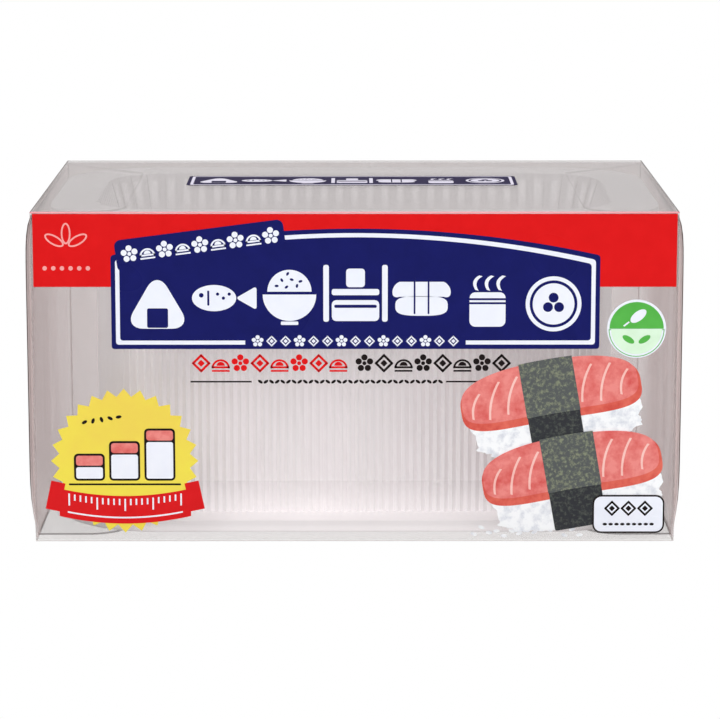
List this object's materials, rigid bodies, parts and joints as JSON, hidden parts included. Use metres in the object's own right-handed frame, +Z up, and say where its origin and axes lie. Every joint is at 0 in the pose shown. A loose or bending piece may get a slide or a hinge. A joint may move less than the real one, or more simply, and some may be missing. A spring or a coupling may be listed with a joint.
{
  "type": "sushi rice mould press in a clear folding carton",
  "caption": "Frosted rice mould frame with a wide flange and a sliding finger press, held in a clear printed folding carton with hinged tuck and dust flaps.",
  "frame": {"origin": "middle of the carton's underside, on the surface it stands on", "axes": "+X to the right along the carton's length, +Y to the back where the lid is creased, +Z up; the printed front faces -Y"},
  "size_m": [0.1258, 0.078, 0.0625],
  "materials": {
    "clear_film": "clear gloss sheet",
    "frosted_frame": "frosted translucent",
    "frosted_press": "frosted translucent"
  },
  "bodies": {
    "carton": {"front_panel": "clear_film", "back_panel": "clear_film", "left_panel": "clear_film", "right_panel": "clear_film", "glue_flap": "clear_film", "mould_frame": "frosted_frame"},
    "lid": {"top_panel": "clear_film", "top_tuck_flap": "clear_film"},
    "top_dust_left": {"top_dust_flap_left": "clear_film"},
    "top_dust_right": {"top_dust_flap_right": "clear_film"},
    "base": {"bottom_panel": "clear_film", "bottom_tuck_flap": "clear_film"},
    "bottom_dust_left": {"bottom_dust_flap_left": "clear_film"},
    "bottom_dust_right": {"bottom_dust_flap_right": "clear_film"},
    "press": {"press": "frosted_press"}
  },
  "joints": [
    {"name": "lid_fold", "type": "hinge", "parent": "carton", "child": "lid", "pos_m": [0, 0.039, 0.06215], "axis": [-1, 0, 0], "range_deg": [0, 110]},
    {"name": "top_dust_left_fold", "type": "hinge", "parent": "carton", "child": "top_dust_left", "pos_m": [-0.06, 0, 0.0618], "axis": [0, -1, 0], "range_deg": [0, 100]},
    {"name": "top_dust_right_fold", "type": "hinge", "parent": "carton", "child": "top_dust_right", "pos_m": [0.06, 0, 0.0618], "axis": [0, 1, 0], "range_deg": [0, 100]},
    {"name": "base_fold", "type": "hinge", "parent": "carton", "child": "base", "pos_m": [0, 0.039, 0.00035], "axis": [1, 0, 0], "range_deg": [0, 110]},
    {"name": "bottom_dust_left_fold", "type": "hinge", "parent": "carton", "child": "bottom_dust_left", "pos_m": [-0.06, 0, 0.0007], "axis": [0, 1, 0], "range_deg": [0, 100]},
    {"name": "bottom_dust_right_fold", "type": "hinge", "parent": "carton", "child": "bottom_dust_right", "pos_m": [0.06, 0, 0.0007], "axis": [0, -1, 0], "range_deg": [0, 100]},
    {"name": "press_slide", "type": "slide", "parent": "carton", "child": "press", "axis": [0, 0, 1], "range_m": [0, 0.05]}
  ],
  "couplings": [
    {"joint": "top_dust_left_fold", "follows": "lid_fold", "ratio": 0.9},
    {"joint": "top_dust_right_fold", "follows": "lid_fold", "ratio": 0.9},
    {"joint": "bottom_dust_left_fold", "follows": "base_fold", "ratio": 0.9},
    {"joint": "bottom_dust_right_fold", "follows": "base_fold", "ratio": 0.9}
  ]
}
